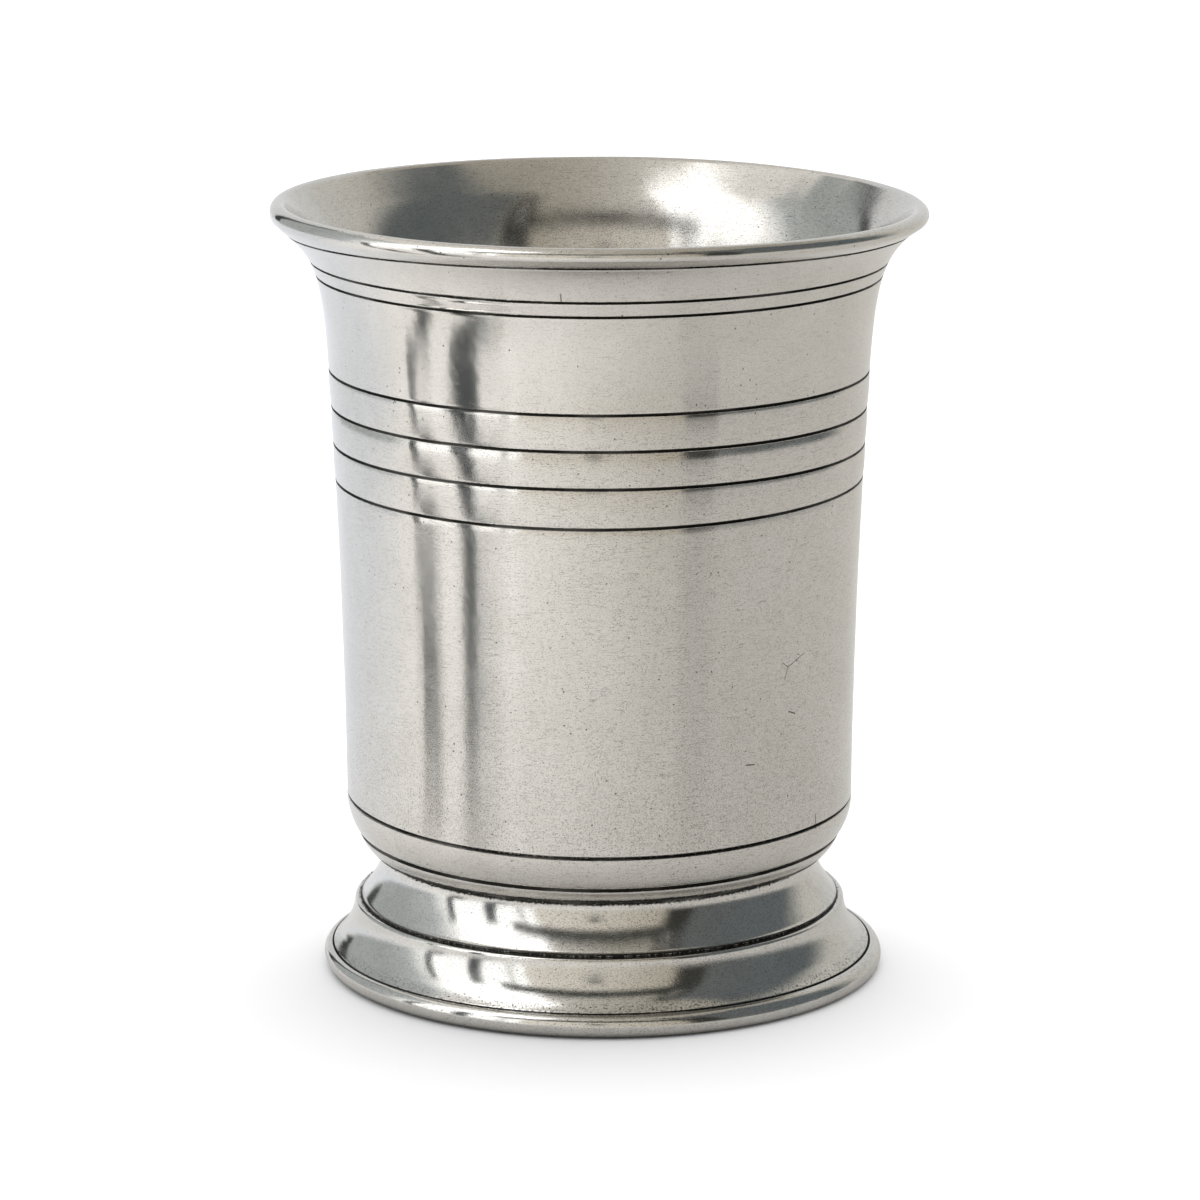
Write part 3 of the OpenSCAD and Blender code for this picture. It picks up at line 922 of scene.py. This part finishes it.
barrel_solder_ring = ring_section(
    barrel_foot_r - wall, solder_high.x / MM - 0.35, solder_low.z / MM, solder_high.z / MM)
barrel_solder = turned(
    "barrel_solder_run", barrel_solder_ring, solder, 192, wave=(0.0, 5), ripple=(0.02, 1.5), seed=9.0)
settle(barrel_solder, "barrel_solder")

# Foot collar.
# The upper ring of the foot, cast hollow and turned to a short cove that is better polished than
# the barrel. It is soldered to the bowl above it and to the foot's base below it.
collar_low, collar_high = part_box("foot_collar")
collar_top = collar_high.z / MM
collar_base = collar_low.z / MM
neck_r = 31.0
neck_height = 16.4
cove_turn = 4.7
collar_edge = 0.3
foot_light = (0.72, 0.71, 0.68, 1)
foot_dark = (0.66, 0.65, 0.62, 1)
foot_pewter = pewter_material(
    "foot_pewter", foot_light, foot_dark, roughness=0.11, grain=0.0045, brushed=0.6,
    marks={"mark_length": 0.3 * MM, "mark_width": 0.08 * MM}, depth=0.7, peeled=0.8,
    pitting={"spacing": 0.8 * MM, "pit_size": 0.15, "share": 0.1}, seed=7.0,
)


def collar_r(height):
    """Outer radius of the cove, up to 1 mm slimmer than the CAD's at the neck."""
    return neck_r + math.hypot(neck_height - height, cove_turn) - cove_turn


collar_low_r = collar_r(collar_base)
count = 24
cove_heights = [collar_base + collar_edge + (collar_top - collar_base - collar_edge) * i / count
                for i in range(count + 1)]
collar_outline = plain([(collar_low_r - 0.2, collar_base), (collar_low_r + 0.05, collar_base + 0.08)], 1)
collar_outline += plain([(collar_low_r + 0.02, collar_base + 0.2)], 0.8)
collar_outline += joint_tarnish(plain([(collar_r(z), z) for z in cove_heights]), collar_top)
collar_outline += plain([(collar_r(z) - wall, z) for z in reversed(cove_heights)])
collar_outline += plain([(collar_r(collar_base) - wall - 0.6, collar_base)])
collar_outline.append(collar_outline[0])

foot_collar = turned(
    "collar_turned", collar_outline, foot_pewter, 288, wave=(0.05, 12), ripple=(0.012, 3), seed=11.0)
settle(foot_collar, "foot_collar")

# Collar solder.
# The solder between the bowl and the collar, dark and rough, with small bright grains that stand
# out of the joint, most of them at the left of the front.
collar_solder_low, collar_solder_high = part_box("collar_solder")
grains, group_in = geometry_tree("solder_grains", [
    ("Radius", "Float"), ("Height", "Float"), ("Places", "Int"), ("Share", "Float"), ("Left Share", "Float"),
    ("Grain Size", "Float"), ("Scatter", "Float"), ("Seed", "Int"),
])
circle = node(grains, "GeometryNodeMeshCircle", {
    "Vertices": group_in["Places"], "Radius": group_in["Radius"]}).outputs[0]


def drawn(low, high, seed):
    """A random vector between two others, for each grain."""
    return node(grains, "FunctionNodeRandomValue", {"Min": low, "Max": high, "Seed": seed},
                data_type="FLOAT_VECTOR").outputs[0]


jitter = scaled(grains, drawn((-1, -1, -1), (1, 1, 1), group_in["Seed"]), group_in["Scatter"])
lifted = node(grains, "ShaderNodeCombineXYZ", {"Z": group_in["Height"]}).outputs[0]
spots = node(grains, "GeometryNodeSetPosition", {
    "Geometry": circle, "Offset": vector_math(grains, "ADD", jitter, lifted)}).outputs[0]
spot = parts_of(grains, node(grains, "GeometryNodeInputPosition").outputs[0])
side = calc(grains, "DIVIDE", spot["X"], group_in["Radius"])
share = ramp_between(grains, side, -0.75, -0.3, group_in["Left Share"], group_in["Share"])
draw = node(grains, "FunctionNodeRandomValue", {
    "Min": 0.0, "Max": 1.0, "Seed": calc(grains, "ADD", group_in["Seed"], 1)}, data_type="FLOAT").outputs[1]
grain = node(grains, "GeometryNodeMeshIcoSphere", {"Radius": 1, "Subdivisions": 2}).outputs[0]
spread = drawn((0.7, 0.7, 0.5), (1.5, 1.5, 1.0), calc(grains, "ADD", group_in["Seed"], 2))
scattered = node(grains, "GeometryNodeInstanceOnPoints", {
    "Points": spots, "Selection": calc(grains, "LESS_THAN", draw, share), "Instance": grain,
    "Scale": scaled(grains, spread, group_in["Grain Size"]),
}).outputs[0]
joined = node(grains, "GeometryNodeJoinGeometry")
grains.links.new(group_in["Geometry"], joined.inputs[0])
grains.links.new(scattered, joined.inputs[0])
end_tree(grains, joined.outputs[0], group_in["Material"])

collar_joint = (collar_solder_low.z + collar_solder_high.z) / 2
collar_solder_inner = 30.0
collar_solder_ring = ring_section(
    collar_solder_inner, collar_solder_high.x / MM, collar_solder_low.z / MM, collar_solder_high.z / MM)
collar_solder = turned(
    "collar_solder_run", collar_solder_ring, solder, 240, wave=(0.0, 5), ripple=(0.12, 0.9), seed=13.0)
add_tree(collar_solder, grains, radius=collar_solder_high.x + 0.12 * MM, height=collar_joint,
         places=640, share=0.3, left_share=0.8, grain_size=0.15 * MM, scatter=0.25 * MM, seed=4,
         material=solder)
settle(collar_solder, "collar_solder")

# Foot base.
# The wide lower ring of the foot, hollow under the cup: a rounded step, a cove that runs out, one
# turned line and the bead on which the cup stands. Cast, turned and polished like the collar.
base_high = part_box("foot_base")[1]
base_top = base_high.z / MM
foot_r = base_high.x / MM
base_top_r = 35.0
step_round = 0.5
foot_bead_r = 1.6
foot_line = (38.5, 3.2)
foot_line_half = 0.16
grainy_tarnish = 0.34
grainy_low = 4.0
grainy_high = 5.8
rest_inner_r = 36.55
ledge_inner_r = 31.1
ledge_under = base_top - 1.8
cove_start = base_top + 0.1
base_flare = foot_line[0] - base_top_r
base_cove_r = (base_flare ** 2 + (cove_start - foot_line[1]) ** 2) / (2 * base_flare)


def base_r(height, inward=0.0):
    """Radius of the foot's cove, or of its inner side."""
    reach = base_cove_r + inward
    return base_top_r + base_cove_r - math.sqrt(reach ** 2 - (height - cove_start) ** 2)


bead_centre = (foot_r - foot_bead_r, foot_bead_r)
cove_top = base_top - step_round
count = 30
cove_levels = [foot_line[1] + (cove_top - foot_line[1]) * i / count for i in range(1, count)]
cove = [(base_r(z), z) for z in cove_levels]
step_path = arc((base_r(cove_top) - step_round, cove_top), step_round, 0, 90, 7)
outer_path = arc(bead_centre, foot_bead_r, -90, 62, 22) + [foot_line] + cove + step_path
inner_path = [(min(base_r(z, wall), rest_inner_r), z)
              for z in [ledge_under + (foot_bead_r - ledge_under) * i / 12 for i in range(13)]]
foot_cut = (foot_line[1], foot_line_half, (0.15, 0.02), (0.2, 0.03))
base_outline = plain([(rest_inner_r, 0)])
for r, z, tarnish, polish in cut_lines(outer_path, [foot_cut]):
    held = grainy_tarnish * (1 - share_between(z, grainy_low, grainy_high)) if z > foot_line[1] else 0
    base_outline.append((r, z, max(tarnish, held), polish))
base_outline += plain([(step_path[-1][0] - 0.6, base_top), (ledge_inner_r, base_top)], 1)
base_outline += plain([(ledge_inner_r, ledge_under)] + inner_path)
base_outline.append(base_outline[0])

foot_base = turned(
    "base_turned", base_outline, foot_pewter, 288, wave=(0.05, 12), ripple=(0.014, 3), seed=17.0)
settle(foot_base, "foot_base")

# Step solder.
# The solder between the two foot rings, dark and rough with fine grains all round.
step_low, step_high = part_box("step_solder")
step_solder_ring = ring_section(ledge_inner_r, step_high.x / MM, step_low.z / MM, step_high.z / MM)
step_solder = turned(
    "step_solder_run", step_solder_ring, solder, 240, wave=(0.0, 5), ripple=(0.05, 2.2), seed=19.0)
add_tree(step_solder, grains, radius=step_high.x + 0.3 * MM, height=(step_low.z + step_high.z) / 2,
         places=1400, share=0.15, left_share=0.7, grain_size=0.065 * MM, scatter=0.2 * MM, seed=5,
         material=solder)
settle(step_solder, "step_solder")
